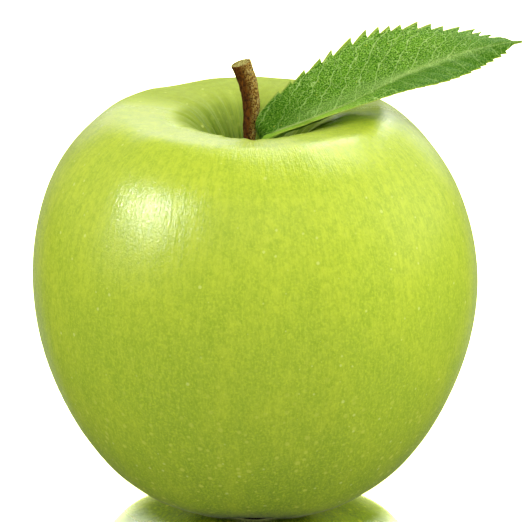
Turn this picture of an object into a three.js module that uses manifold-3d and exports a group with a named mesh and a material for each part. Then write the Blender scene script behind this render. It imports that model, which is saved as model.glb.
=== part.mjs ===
// Green apple, as picked: the fruit, its woody stem, one leaf and the dried calyx in the basin below.
// Millimetres, +Z up. The apple stands on five small flat spots round its basin, in the plane Z = 0.
// The origin is the centre of the bottom of the whole object's box.
import * as THREE from 'three';
import { mergeVertices } from 'three/addons/utils/BufferGeometryUtils.js';
import Module from 'manifold-3d';

// ---- Driving dimensions ----

const HEIGHT = 72.6;              // fruit, from the flat spots to the top of the shoulders
const GAP = 0.3;                  // clearance between pieces that touch

// Half section of the fruit as [radius, height], from the cavity floor over the shoulder to the basin.
const CAVITY = [[1.9, 58.9], [3.6, 60.2], [6, 63.8], [8.6, 67.8], [11.6, 70.6], [15.6, 72.1]];
const SHOULDER = [[20.4, 72.6], [24.6, 72.3], [30.8, 67.7]];
const FLANK = [[35.8, 60.6], [39, 51.2], [40, 41.4], [38.9, 31.7], [36, 22.4], [31.5, 13.6], [25.4, 6.2]];
const FOOT = [[17, 1.6], [12.8, 0], [10.2, 0.5], [7.6, 2.3], [5.4, 4.7]];
const BASIN_FLOOR = [3.8, 5.9];    // edge of the flat floor of the basin
const SOCKET = [1.9, 57.2];       // radius and floor of the hole that the stem stands in
const ROWS_PER_SPAN = 2;
const SEGMENTS = 80;

const LEAN = 0.75;                // the crown sits this far to the left of the base
const RIM_TILT = 0.6;             // the rim of the cavity drops this much to the right
const LOBES = 5;
const BASE_LOBE = 0.7;            // rise between two of the five feet
const FOOT_TRIM = 0.22;           // each foot is worn flat by this much
const CROWN_LOBE = 0.12;          // half the rise and fall of the shoulder round the rim
const CROWN_TILT = 0.28;          // the crown stands this much higher at the back, and lower in front
const RIB = 0.008;                // share by which the lower flank swells over each foot
const CROWN_TURN = 0.31;          // angle of a crown lobe, radians from +X
const BASE_TURN = 0.3;
// Where each unevenness fades in, as the height or radius of none and of all of it.
const LOWER_HEIGHTS = [34, 4];
const LOWER_RADII = [4, 20];
const FOOT_HEIGHTS = [16, 1];
const FOOT_RADII = [4, 11];
const CROWN_HEIGHTS = [56, 70];
const CROWN_INNER = [5, 14];
const CROWN_OUTER = [38, 26];
const RIM_HEIGHTS = [40, 58];
const RIM_INNER = [3, 8];
const RIM_OUTER = [18, 11];

const STEM_AXIS = [
  [-0.5, 0, 57.6], [-1, 0, 64], [-1, 0, 68.6], [-0.7, 0, 73.6], [-1.3, -0.15, 77.9], [-2.55, -0.4, 81.6],
];
const STEM_RADII = [1.5, 1.1, 1.1, 1.35, 1.6, 1.75, 1.9];
const STEM_SIDES = 20;
const STEM_ROWS = 24;

// The leaf stalk rises from beside the stem's foot, and its midrib runs over the right shoulder.
const MIDRIB = [
  [2, -1.9, 61.4], [1.5, -2.5, 64.4], [1.5, -2.5, 67.4], [3.6, -2, 69.2], [9.1, -1, 71.1],
  [17, 0, 74.2], [27.9, 0.8, 79.7], [38.7, 1.7, 83.4], [48.1, 2.3, 85.6],
];
const STALK_SHARE = 0.13;         // share of that line which is stalk
const STALK_HALF_WIDTH = 0.75;
const STALK_THICKNESS = 1.5;
const BLADE_OPENS = 0.06;         // share of the blade over which it opens from the stalk to its full fold
const TIP_HALF_WIDTH = 0.05;
const BLADE_HALF_WIDTH = 9.4;
const BLADE_WIDEST = 0.9;         // below 1 the widest place moves towards the base
const BASE_ROUNDNESS = 0.38;      // power of the outline at its base, low for a round one
const TIP_TAPER = 0.8;            // what is added to that power at the tip, high for a drawn-out one
const BLADE_THICKNESS = 0.7;
const RIB_DEPTH = 0.75;           // how far the midrib stands out below the blade at its base
const RIB_HALF_WIDTH = 0.9;
const FOLD_HALF_WIDTH = 1.4;      // the blade turns from one half to the other over this distance
const FAR_RISE = [94, 80, 64, 34, 0];       // slope of the far half in degrees, base to tip
const NEAR_RISE = [19, 17, 6, -15, -36];    // slope of the near half
const MARGIN_CURL = -14;          // extra slope at the margins, degrees
const TEETH = 19;
const TEETH_FROM = 0.05;
const TEETH_TO = 0.965;
const TOOTH_CROWDING = 0.86;      // below 1 the teeth stand closer towards the tip
const TOOTH_DEPTH = 1.4;
const BASE_TOOTH = 0.3;           // share of that depth at the base of the blade
const TIP_TOOTH = 0.55;           // and at the tip
const SMALL_TOOTH = 0.6;          // every second tooth is smaller
const NEAR_TOOTH = 0.45;          // the near margin's teeth are this share as deep
const TOOTH_PHASES = [0, 0.5, 0.93];
const STALK_ROWS = 9;
const BASE_ROWS = [0.001, 0.012, 0.03];     // rows across the toothless base and tip of the blade
const TIP_ROWS = [TEETH_TO, 0.985, 1];
const SECTION_STEPS = 24;
const ACROSS = [0, 0.1, 0.26, 0.46, 0.66, 0.85, 1];

const SEPAL_LENGTH = 4.4;
const SEPAL_WIDTH = 2.8;
const SEPAL_THICKNESS = 0.7;
const SEPAL_LEAN = 0.42;          // the sepals lean in by this angle, radians
const CUP_RADIUS = 3.3;
const CUP_DEPTH = 0.9;

const manifold = await Module();
manifold.setup();

// ---- Helpers ----

const smooth = (from, to, value) => THREE.MathUtils.smoothstep(
  (value - from) / (to - from), 0, 1);
const radians = THREE.MathUtils.degToRad;
const vector = ([x, y, z]) => new THREE.Vector3(x, y, z);

// A smooth curve through evenly spaced values, read at a share from 0 to 1.
function between(values, share) {
  const curve = new THREE.SplineCurve(values.map((value, index) => new THREE.Vector2(index, value)));
  return curve.getPoint(THREE.MathUtils.clamp(share, 0, 1)).y;
}

// Only positions, with shared corners merged and the triangles that lost their area left out.
function weld(geometry) {
  geometry.deleteAttribute('normal');
  geometry.deleteAttribute('uv');
  const welded = mergeVertices(geometry, 1e-4);
  const index = welded.index.array;
  const kept = [];
  for (let corner = 0; corner < index.length; corner += 3) {
    const [a, b, c] = index.slice(corner, corner + 3);
    if (a !== b && b !== c && c !== a) {
      kept.push(a, b, c);
    }
  }
  welded.setIndex(kept);
  return welded;
}

function movePoints(geometry, move) {
  const position = geometry.attributes.position;
  const point = new THREE.Vector3();
  for (let index = 0; index < position.count; index += 1) {
    move(point.fromBufferAttribute(position, index));
    position.setXYZ(index, point.x, point.y, point.z);
  }
  return geometry;
}

function meshOf(name, geometry, color, roughness) {
  geometry.computeVertexNormals();
  const mesh = new THREE.Mesh(geometry, new THREE.MeshStandardMaterial({ color, roughness, metalness: 0 }));
  mesh.name = name;
  return mesh;
}

// ---- Fruit ----

function fruitSection() {
  const knots = [...CAVITY, ...SHOULDER, ...FLANK, ...FOOT, BASIN_FLOOR];
  const curve = new THREE.CatmullRomCurve3(knots.map(([radius, height]) => vector([radius, height, 0])));
  const skin = curve.getPoints((knots.length - 1) * ROWS_PER_SPAN);
  const [socketRadius, socketFloor] = SOCKET;
  return [
    new THREE.Vector2(0, socketFloor),
    new THREE.Vector2(socketRadius, socketFloor),
    ...skin.map(({ x, y }) => new THREE.Vector2(x, y)),
    new THREE.Vector2(0, BASIN_FLOOR[1]),
  ].reverse();
}

// Five soft lobes below and above, five worn feet, a crown that leans and a rim that tilts.
function growUnevenly(point) {
  const angle = Math.atan2(point.y, point.x);
  const radius = Math.hypot(point.x, point.y);
  const fade = (heights, ...radii) => radii.reduce(
    (product, span) => product * smooth(...span, radius), smooth(...heights, point.z));
  const lower = fade(LOWER_HEIGHTS, LOWER_RADII);
  const foot = fade(FOOT_HEIGHTS, FOOT_RADII);
  const crown = fade(CROWN_HEIGHTS, CROWN_INNER, CROWN_OUTER);
  const rim = fade(RIM_HEIGHTS, RIM_INNER, RIM_OUTER);
  const baseLobe = Math.cos(LOBES * (angle - BASE_TURN));
  const crownLobe = Math.cos(LOBES * (angle - CROWN_TURN));
  const swell = 1 + RIB * baseLobe * lower;
  point.x *= swell;
  point.y *= swell;
  point.z = Math.max(point.z + (BASE_LOBE * (1 - baseLobe) / 2 - FOOT_TRIM) * foot, 0);
  point.z += (CROWN_LOBE * crownLobe + CROWN_TILT * Math.sin(angle)) * crown;
  point.z -= RIM_TILT * Math.cos(angle) * rim;
  point.x -= LEAN * smooth(0.5, 1, point.z / HEIGHT);
}

function makeFruit() {
  const turned = new THREE.LatheGeometry(fruitSection(), SEGMENTS);
  turned.rotateX(Math.PI / 2);
  return meshOf('fruit', movePoints(weld(turned), growUnevenly), 0x9cc21c, 0.32);
}

// ---- Stem ----

function makeStem() {
  const axis = new THREE.CatmullRomCurve3(STEM_AXIS.map(vector));
  const rod = new THREE.CylinderGeometry(1, 1, 1, STEM_SIDES, STEM_ROWS);
  rod.rotateX(Math.PI / 2);
  rod.translate(0, 0, 0.5);
  const stem = movePoints(weld(rod), (point) => {
    const share = THREE.MathUtils.clamp(point.z, 0, 1);
    const centre = axis.getPointAt(share);
    const along = axis.getTangentAt(share);
    const side = new THREE.Vector3(0, 1, 0).cross(along).normalize();
    const back = along.clone().cross(side);
    const radius = between(STEM_RADII, share);
    centre.addScaledVector(side, point.x * radius);
    point.copy(centre.addScaledVector(back, point.y * radius));
  });
  return meshOf('stem', stem, 0x6b3f16, 0.8);
}

// ---- Leaf ----

const midrib = new THREE.CatmullRomCurve3(MIDRIB.map(vector));
midrib.arcLengthDivisions = 800;

// Half the blade's width: round at the base, widest before the middle, drawn out to a point.
const bladeHalfWidth = (share) => BLADE_HALF_WIDTH
  * Math.sin(Math.PI * share ** BLADE_WIDEST) ** (BASE_ROUNDNESS + TIP_TAPER * share);

const halfWidth = (share) => Math.max(
  bladeHalfWidth(share), STALK_HALF_WIDTH * smooth(1.02, 0.9, share), TIP_HALF_WIDTH);

const toothShare = (count) => TEETH_FROM + (TEETH_TO - TEETH_FROM) * (count / TEETH) ** TOOTH_CROWDING;

// Each row across the leaf: where it lies on the midrib, and how far its margin stands out as a tooth.
function leafRows() {
  const rows = [];
  for (let row = 0; row < STALK_ROWS; row += 1) {
    rows.push({ along: STALK_SHARE * row / STALK_ROWS, share: 0, tooth: 0 });
  }
  const addRow = (share, tooth) => {
    rows.push({ along: STALK_SHARE + (1 - STALK_SHARE) * share, share, tooth });
  };
  BASE_ROWS.forEach((share) => addRow(share, 0));
  for (let tooth = 0; tooth < TEETH; tooth += 1) {
    const from = toothShare(tooth);
    const pitch = toothShare(tooth + 1) - from;
    const depth = TOOTH_DEPTH * (tooth % 2 ? 1 : SMALL_TOOTH)
      * THREE.MathUtils.lerp(BASE_TOOTH, 1, smooth(0, 0.5, from))
      * THREE.MathUtils.lerp(1, TIP_TOOTH, smooth(0.75, 1, from));
    TOOTH_PHASES.forEach((phase) => addRow(from + pitch * phase, depth * phase));
  }
  TIP_ROWS.forEach((share) => addRow(share, 0));
  return rows;
}

// The folded section of one row, walked from the midrib to a signed distance in short steps.
function walkSection(distance, farRise, nearRise, reach) {
  const place = new THREE.Vector2();
  const pace = distance / SECTION_STEPS;
  for (let step = 0; step < SECTION_STEPS; step += 1) {
    const offset = pace * (step + 0.5);
    const folded = smooth(-FOLD_HALF_WIDTH, FOLD_HALF_WIDTH, offset);
    const curl = MARGIN_CURL * (offset / reach) ** 2 * Math.sign(offset);
    const slope = radians(THREE.MathUtils.lerp(-nearRise, farRise, folded) + curl);
    place.x += Math.cos(slope) * pace;
    place.y += Math.sin(slope) * pace;
  }
  return place;
}

function leafPoint({ along, share, tooth }, column) {
  const centre = midrib.getPointAt(along);
  const tangent = midrib.getTangentAt(along);
  const aside = new THREE.Vector3(0, 1, 0).addScaledVector(tangent, -tangent.y).normalize();
  const up = tangent.clone().cross(aside);
  const margin = Math.abs(column) === ACROSS.length - 1;
  const depth = margin ? tooth * (column > 0 ? 1 : NEAR_TOOTH) : 0;
  const distance = Math.sign(column) * (ACROSS[Math.abs(column)] * halfWidth(share) + depth);
  const open = smooth(0, BLADE_OPENS, share);
  const farRise = between(FAR_RISE, share) * open;
  const nearRise = between(NEAR_RISE, share) * open;
  const place = walkSection(distance, farRise, nearRise, halfWidth(share));
  return centre.addScaledVector(aside, place.x).addScaledVector(up, place.y);
}

// The thickness above and below the middle surface at one point of a row.
function leafThickness({ share }, column) {
  const cross = ACROSS[Math.abs(column)];
  const blade = smooth(0, BLADE_OPENS, share);
  const round = STALK_THICKNESS / 2 * Math.sqrt(1 - 0.75 * cross ** 2);
  const rib = RIB_DEPTH * (1 - 0.8 * share) * Math.exp(-((cross * halfWidth(share) / RIB_HALF_WIDTH) ** 2));
  return {
    above: THREE.MathUtils.lerp(round, BLADE_THICKNESS / 2, blade),
    below: THREE.MathUtils.lerp(round, BLADE_THICKNESS / 2 + rib, blade),
  };
}

function makeLeaf() {
  const rows = leafRows();
  const half = ACROSS.length - 1;
  const width = 2 * half + 1;
  const columns = Array.from({ length: width }, (_, index) => index - half);
  const middle = rows.map((row) => columns.map((column) => leafPoint(row, column)));
  const faces = [[], []];
  rows.forEach((row, rowIndex) => {
    for (let index = 0; index < width; index += 1) {
      const before = middle[Math.max(rowIndex - 1, 0)][index];
      const after = middle[Math.min(rowIndex + 1, rows.length - 1)][index];
      const left = middle[rowIndex][Math.max(index - 1, 0)];
      const right = middle[rowIndex][Math.min(index + 1, width - 1)];
      const normal = after.clone().sub(before).cross(right.clone().sub(left)).normalize();
      const { above, below } = leafThickness(row, index - half);
      faces[0].push(middle[rowIndex][index].clone().addScaledVector(normal, above));
      faces[1].push(middle[rowIndex][index].clone().addScaledVector(normal, -below));
    }
  });
  return meshOf('leaf', closeSheet(faces, rows.length, width), 0x3f8a1e, 0.5);
}

// Joins an upper and a lower grid of points into one closed skin, both split into triangles alike.
function closeSheet([upper, lower], rowCount, width) {
  const points = [...upper, ...lower];
  const under = upper.length;
  const triangles = [];
  const quad = (a, b, c, d) => triangles.push(a, b, c, a, c, d);
  for (let row = 0; row + 1 < rowCount; row += 1) {
    for (let column = 0; column + 1 < width; column += 1) {
      const corner = row * width + column;
      quad(corner, corner + width, corner + width + 1, corner + 1);
      triangles.push(under + corner, under + corner + width + 1, under + corner + width);
      triangles.push(under + corner, under + corner + 1, under + corner + width + 1);
    }
    const left = row * width;
    const right = left + width - 1;
    quad(left, under + left, under + left + width, left + width);
    quad(right, right + width, under + right + width, under + right);
  }
  const last = (rowCount - 1) * width;
  for (let column = 0; column + 1 < width; column += 1) {
    quad(column, column + 1, under + column + 1, under + column);
    quad(last + column, under + last + column, under + last + column + 1, last + column + 1);
  }
  const geometry = new THREE.BufferGeometry().setFromPoints(points);
  geometry.setIndex(triangles);
  return geometry;
}

// ---- Calyx ----

function toSolid(geometry) {
  const welded = weld(geometry);
  const vertProperties = Float32Array.from(welded.attributes.position.array);
  const triVerts = Uint32Array.from(welded.index.array);
  return new manifold.Manifold(new manifold.Mesh({ numProp: 3, vertProperties, triVerts }));
}

function fromSolid(solid) {
  const { vertProperties, triVerts } = solid.getMesh();
  const geometry = new THREE.BufferGeometry();
  geometry.setAttribute('position', new THREE.BufferAttribute(vertProperties, 3));
  geometry.setIndex(new THREE.BufferAttribute(triVerts, 1));
  return geometry;
}

// One pointed sepal, hanging from the cup and leaning in over the blossom end.
function makeSepal(turn) {
  const outline = new THREE.Shape();
  outline.moveTo(-SEPAL_WIDTH / 2, 0);
  outline.lineTo(SEPAL_WIDTH / 2, 0);
  outline.quadraticCurveTo(SEPAL_WIDTH / 2, SEPAL_LENGTH / 2, 0, SEPAL_LENGTH);
  outline.quadraticCurveTo(-SEPAL_WIDTH / 2, SEPAL_LENGTH / 2, -SEPAL_WIDTH / 2, 0);
  const sepal = new THREE.ExtrudeGeometry(outline, {
    depth: SEPAL_THICKNESS, bevelEnabled: false, curveSegments: 6,
  });
  sepal.rotateX(-Math.PI / 2 - SEPAL_LEAN);
  sepal.translate(0, CUP_RADIUS - SEPAL_THICKNESS, -CUP_DEPTH / 2);
  sepal.rotateZ(turn);
  return sepal;
}

function makeCalyx() {
  const cup = new THREE.CylinderGeometry(CUP_RADIUS, CUP_RADIUS - 0.4, CUP_DEPTH, 30);
  cup.rotateX(Math.PI / 2);
  cup.translate(0, 0, -CUP_DEPTH / 2);
  let solid = toSolid(cup);
  for (let sepal = 0; sepal < LOBES; sepal += 1) {
    solid = solid.add(toSolid(makeSepal(BASE_TURN + 2 * Math.PI * sepal / LOBES)));
  }
  const mesh = meshOf('calyx', fromSolid(solid), 0x6d5530, 0.9);
  mesh.position.z = BASIN_FLOOR[1] - GAP;
  return mesh;
}

// ---- The apple ----

const apple = new THREE.Group();
apple.add(makeFruit(), makeStem(), makeLeaf(), makeCalyx());
const box = new THREE.Box3().setFromObject(apple);
const middleOfBox = box.getCenter(new THREE.Vector3());
apple.position.set(-middleOfBox.x, -middleOfBox.y, -box.min.z);
apple.updateMatrixWorld(true);

export default apple;
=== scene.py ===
"""A green apple with its woody stem and one leaf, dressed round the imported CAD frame.

Shapes are worked out in millimetres from the apple's own axis, by the same rules as the CAD solids, and
put into the row frame, in metres, when a mesh is made. Nothing is read except the frame.
"""
import math

import bmesh
import bpy
import numpy as np
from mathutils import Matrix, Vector, noise


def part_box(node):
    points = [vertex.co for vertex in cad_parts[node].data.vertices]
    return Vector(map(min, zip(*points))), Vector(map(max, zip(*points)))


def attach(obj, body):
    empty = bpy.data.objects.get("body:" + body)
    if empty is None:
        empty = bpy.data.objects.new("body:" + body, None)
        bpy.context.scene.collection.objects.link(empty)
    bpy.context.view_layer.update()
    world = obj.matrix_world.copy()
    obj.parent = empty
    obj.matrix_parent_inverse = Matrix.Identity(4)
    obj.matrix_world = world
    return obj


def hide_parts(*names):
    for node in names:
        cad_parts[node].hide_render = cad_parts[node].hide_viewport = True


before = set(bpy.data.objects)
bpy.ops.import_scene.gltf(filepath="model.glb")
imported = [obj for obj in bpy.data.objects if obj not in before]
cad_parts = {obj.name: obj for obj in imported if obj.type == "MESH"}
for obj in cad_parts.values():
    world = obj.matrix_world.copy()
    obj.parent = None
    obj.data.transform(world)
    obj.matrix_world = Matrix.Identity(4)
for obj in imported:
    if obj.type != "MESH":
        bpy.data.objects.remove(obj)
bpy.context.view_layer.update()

MM = 0.001
SEED = 11

# ---- The fruit's section and unevenness, as in the CAD model ----

HEIGHT = 72.6
CAVITY = [[1.9, 58.9], [3.6, 60.2], [6, 63.8], [8.6, 67.8], [11.6, 70.6], [15.6, 72.1]]
SHOULDER = [[20.4, 72.6], [24.6, 72.3], [30.8, 67.7]]
FLANK = [[35.8, 60.6], [39, 51.2], [40, 41.4], [38.9, 31.7], [36, 22.4], [31.5, 13.6], [25.4, 6.2]]
FOOT = [[17, 1.6], [12.8, 0], [10.2, 0.5], [7.6, 2.3], [5.4, 4.7]]
BASIN_FLOOR = [3.8, 5.9]
CAVITY_FLOOR = 58.7  # the skin closes round the stem here, over the CAD model's socket
LEAN = 0.75
RIM_TILT = 0.6
LOBES = 5
BASE_LOBE = 0.7
FOOT_TRIM = 0.22
CROWN_LOBE = 0.12
CROWN_TILT = 0.28
RIB = 0.008
CROWN_TURN = 0.31
BASE_TURN = 0.3
LOWER_HEIGHTS = (34, 4)
LOWER_RADII = (4, 20)
FOOT_HEIGHTS = (16, 1)
FOOT_RADII = (4, 11)
CROWN_HEIGHTS = (56, 70)
CROWN_INNER = (5, 14)
CROWN_OUTER = (38, 26)
RIM_HEIGHTS = (40, 58)
RIM_INNER = (3, 8)
RIM_OUTER = (18, 11)

SKIN_ROWS = 220
SKIN_SEGMENTS = 360
FURROW_DEPTH = 0.16  # of the fine radial creases in the cavity
FURROW_COUNTS = (17, 23, 29, 34, 41, 47, 53, 61)
FURROW_INNER = (2.5, 5)
FURROW_OUTER = (19, 9)
FURROW_DRIFT = 0.35  # how fast a crease wanders round the fruit, radians per mm at most
WAVE_DEPTH = 0.07  # of the slow unevenness of the flank
WAVE_COUNTS = (7, 9, 12, 16, 21)
WAVE_DRIFT = 0.05
WAVE_RADII = (8, 24)  # radii between which it fades in
WAVE_HEIGHTS = (0.5, 6)
GRAIN_LENGTH = 40  # along the section, mm, that counts as one radius in the skin's grain
# Painted shade in the stem cavity and the calyx basin, darker inwards.
CAVITY_DARK = (18, 5)  # radii between which each hollow's darker colour fades in
BASIN_DARK = (12, 4)
# The back of the crown is less waxy and painted darker as shade, from one sine of the angle towards the
# back and one radius to another, and so is the cavity inside a radius.
DULL_SIDE = (0.05, 0.6)
DULL_OUTER = (33, 26)
DULL_INNER = (16, 12)

# ---- Stem and leaf, as in the CAD model ----

STEM_AXIS = [
    [-0.5, 0, 57.6], [-1, 0, 64], [-1, 0, 68.6], [-0.7, 0, 73.6], [-1.3, -0.15, 77.9], [-2.55, -0.4, 81.6],
]
STEM_RADII = [1.5, 1.1, 1.1, 1.35, 1.6, 1.75, 1.9]
STEM_SIDES = 72
STEM_ROWS = 170
BARK_DEPTH = 0.11
# The bark is paler and flecked with tan on this side, weathering with painted light, and painted shade
# darkens the other side.
WEATHERED_TURN = -0.3  # the side where the bark is palest, radians from +X
CUT_RIM = 0.16  # the bark stands this far above the cut face
# Rings of the cut face, as shares of the stem's radius and of CUT_RIM.
CUT_RINGS = ((0.93, 0.0), (0.82, 0.6), (0.6, 1.0), (0.35, 0.9), (0.12, 0.8))
CUT_ROWS = 4  # so many of these rings have the colour of the cut face

MIDRIB = [
    [2, -1.9, 61.4], [1.5, -2.5, 64.4], [1.5, -2.5, 67.4], [3.6, -2, 69.2], [9.1, -1, 71.1],
    [17, 0, 74.2], [27.9, 0.8, 79.7], [38.7, 1.7, 83.3], [47.4, 2.3, 84.9],
]
STALK_SHARE = 0.13
STALK_HALF_WIDTH = 0.75
STALK_THICKNESS = 1.5
BLADE_OPENS = 0.06
BLADE_FOLDS = 0.02
BASE_LOBE_REACH = 1.0  # the base of the far half reaches back this far beside the stalk
BASE_LOBE_ENDS = 0.22
NEAR_LOBE = 0.3  # share of that reach on the near half
TOOTH_LEAN = 0.9  # how far a tooth's point leans towards the tip for each mm it stands out
TIP_HALF_WIDTH = 0.05
TAIL_WIDTH = 0.4  # width that is left to the last bit of the blade beyond its teeth
TAIL_FROM = (0.945, 0.975)
STALK_ENDS = (1.02, 0.9)
BLADE_HALF_WIDTH = 9.4
BLADE_WIDEST = 0.9
BASE_ROUNDNESS = 0.38
FAR_TAPER = 0.45  # how early each half narrows towards the tip
NEAR_TAPER = 0.7
BLADE_THICKNESS = 0.4
RIB_DEPTH = 0.75
RIB_HALF_WIDTH = 0.9
FOLD_HALF_WIDTH = 1.4
FAR_RISE = [94, 80, 64, 34, 0]
NEAR_RISE = [19, 17, 6, -15, -36]
MARGIN_CURL = -14
# Teeth along the far margin, in percent of the blade's length: where they begin, and each one's length.
TEETH_FROM = 5
TOOTH_LENGTHS = (5.5, 5.5, 5.7, 7.2, 5.1, 9, 5.5, 4.5, 3.7, 3.5, 5, 4.5, 4, 4.5, 4, 2.4, 3, 3.1, 2.2)
TOOTH_DEPTH = 1.6  # of a tooth of the usual length
USUAL_TOOTH = 4.6
BASE_TOOTH = 0.3  # share of that depth at the base of the blade
TIP_TOOTH = 2.5  # and towards the tip
SMALL_TOOTH = 0.65  # the least and the most share that a tooth's own length gives
LARGE_TOOTH = 1.1
NEAR_TOOTH = 0.18  # the near margin's teeth are this share as deep
TOOTH_PHASES = (0, 0.15, 0.3, 0.45, 0.58, 0.7, 0.8, 0.87, 0.92, 0.955, 0.975)
TOOTH_PEAK = 0.955  # phase of a tooth at which its point stands
BASE_ROWS = (0.0004, 0.001, 0.003, 0.006, 0.012, 0.02, 0.03, 0.04)  # shares of the blade before the teeth
TAIL_ROWS = 8
STALK_ROWS = 26
LEAF_COLUMNS = 26  # across each half
COLUMN_CROWDING = 1.15  # above 1 the columns stand closer near the midrib
SECTION_STEPS = 24

VEIN_PITCH = 3.7  # between side veins, mm along the blade
VEIN_SLANT = 0.85  # how far a vein runs towards the tip for each mm outwards
VEIN_BEND = 0.028  # and how much more it does so near the margin
VEIN_WIDTH = 0.2
VEIN_DEPTH = 0.07
QUILT_HEIGHT = 0.16
RIB_LINE = 0.2  # half the width of the midrib's pale line
# A sheen painted along the midrib:
SHEEN_PLACES = (1.3, -0.5)  # distance of the pale sheen from the midrib, near the base and farther out
SHEEN_WIDTH = 1.1
NEAR_SQUEEZE = 0.5  # widens the near half's pattern crosswise
UNDERSIDE_OFFSET = [0, 0, 30]  # so that the lower surface has a pattern of its own

# ---- Calyx ----

CUP_RADIUS = 3.3
CUP_DEPTH = 0.9
CALYX_GAP = 0.3
SEPAL_LENGTH = 4.4
SEPAL_WIDTH = 2.8
SEPAL_THICKNESS = 0.35
SEPAL_LEAN = 0.42
SEPAL_ROWS = 16
SEPAL_COLUMNS = 11
STAMENS = 12
STAMEN_LENGTH = 3.2
STAMEN_RADIUS = 0.13
SEPAL_TAPER = 1.6  # above 1 a sepal narrows late
SEPAL_TIP = 0.0005  # square of the width at its tip, as a share of its widest
SEPAL_HOLLOW = 0.25
SEPAL_WAVES = (1.2, 2.2)  # half waves along it, and their height below
SEPAL_CURL = (0.05, 0.125)
SEPAL_SWAY = 0.08  # how far its lean may differ
CUP_WALL = 0.4
CUP_SIDES = 60
STAMEN_ROWS = 8
TUBE_SIDES = 8

# ---- Studio ----

# Two small sheets and the only kind of ray that meets each, with its corners in the row frame, in mm.
LEAF_SHEETS = {
    # A painted dark reflection of the leaf, behind the crown, where the right shoulder's gloss mirrors it.
    "leaf_shade": ("glossy", [
        (6, 30, 64), (20, 30, 64), (21, 30, 80), (30, 30, 85), (29, 30, 88), (6, 30, 87),
    ]),
    # A painted shadow of the leaf, just above the skin, below its near margin.
    "leaf_shadow": ("shadow", [
        (3, -12, 73.4), (12, -9.5, 73.9), (15.5, -6, 74.2), (15.5, -1, 74.2), (10, 0, 72.8), (3, -4, 72.0),
    ]),
}
DOME_RADIUS = 4.0  # metres
LIGHT_AIM = 45  # height of the point that the lights look at
ROOM_LIGHT = 0.26
TABLE_GLEAM = 0.33  # what the skin mirrors of the table, straight behind it and elsewhere
TABLE_DULL = 0.02
GLEAM_SIDES = (0.82, 0.88)  # cosine of the angle from straight behind: no gleam yet, and all of it
GLEAM_DEPTH = (-0.5, -0.36)  # sine of the angle above the horizon, likewise
HORIZON = (-0.02, 0.02)

FLOOR_HALF = 3.0  # metres
FLOOR_GAP = 0.05  # between the tabletop and the duller one below it
FLOOR_WALL_POWER = 120
FLOOR_BOUNCE = (0.5, 0.5, 0.5)  # share of each colour that the table sends back to the apple
# The tabletop has a painted shadow round the apple, and whitens in two steps with the distance, in mm, from
# the middle of that shadow.
SHADE_SHIFT = 2  # of that middle to the right of the apple's axis
SHADE_NEAR = (21.5, 29)
SHADE_LEVEL = 0.5  # white after the first step
SHADE_FAR = (32, 60)
TABLE_WHITE = 0.86  # white after both
FLOOR_SHINE = (1.6, 1.7, 0.65)  # its polish strengthens what it mirrors, and tints it
FLOOR_SLANT = (0.3, 0.7)  # from least polish, looked at from above, to all of it
LEAST_SHINE = 0.04
FLOOR_ROUGHNESS = 0.05

# Each light's turn from straight behind towards the right, its rise, distance, width, height and power.
# Gloss doesn't mirror the first group.
SHADING_LIGHTS = {
    "front": (180, 45, 1.2, 0.8, 0.8, 3.0),
    "front_right": (132, 43, 1.2, 0.8, 0.8, 4.8),
    "front_left": (-135, 39, 1.2, 0.8, 0.8, 2.7),
    "side_right": (88, 28, 1.2, 0.8, 1.0, 7.4),
    "side_left": (-90, 25, 1.2, 0.8, 1.0, 4.6),
    "back_right": (45, 14, 1.2, 0.8, 0.8, 2.7),
    "back_left": (-48, 32, 1.2, 0.8, 0.8, 3),
}
# Only gloss mirrors the second.
GLOSS_LIGHTS = {
    "window": (-110, 40, 1.0, 0.2, 0.25, 7.4),
    "window_low": (-119, 27, 1.0, 0.2, 0.26, 3.4),
    "window_glow": (-110, 25, 1.0, 0.65, 0.75, 2.6),
    "overhead": (38, 60, 1.0, 0.65, 0.6, 7.6),
    "back_window": (6, 22, 1.0, 1.1, 0.8, 3.5),
    "shoulder": (20, 30, 1.0, 0.3, 0.2, 1.6),
    "lip": (10, 41, 1.0, 0.4, 0.14, 0.6),
    "wall_sheen": (78, 20, 1.0, 0.9, 0.6, 1.3),
}

# ---- Camera ----

CAMERA_TARGET = (1.74, 0, 44.8)  # from the apple's axis
CAMERA_DISTANCE = 700
CAMERA_ELEVATION = 17
LENS = 264.2
SENSOR = 36
CLIP_END = 20  # metres

# The CAD fruit leans to the left, so the middle of its box lies a little to the left of its axis.
BOX_SHIFT = 0.04
fruit_low, fruit_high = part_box("fruit")
AXIS_X = (fruit_low.x + fruit_high.x) / 2 + BOX_SHIFT * MM


# ---- Helpers ----

def smooth(start, end, value):
    """Eases from 0 at start to 1 at end, whichever is the larger."""
    share = np.clip((value - start) / (end - start), 0, 1)
    return share * share * (3 - 2 * share)


def blend(low, high, share):
    return low + (high - low) * share


def hermite(here, after, leave, arrive, share):
    """A cubic from one value to the next that leaves and arrives at the given slopes."""
    square, cube = 3 * after - 3 * here - 2 * leave - arrive, 2 * here - 2 * after + leave + arrive
    return here + leave * share + square * share ** 2 + cube * share ** 3


def between(values, share):
    """A smooth curve through evenly spaced values, read at shares from 0 to 1."""
    values = np.asarray(values, float)
    last = len(values) - 1
    place = np.clip(share, 0, 1) * last
    index = np.minimum(place.astype(int), last - 1)
    before, here = values[np.maximum(index - 1, 0)], values[index]
    after, beyond = values[index + 1], values[np.minimum(index + 2, last)]
    return hermite(here, after, (after - before) / 2, (beyond - here) / 2, place - index)


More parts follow.
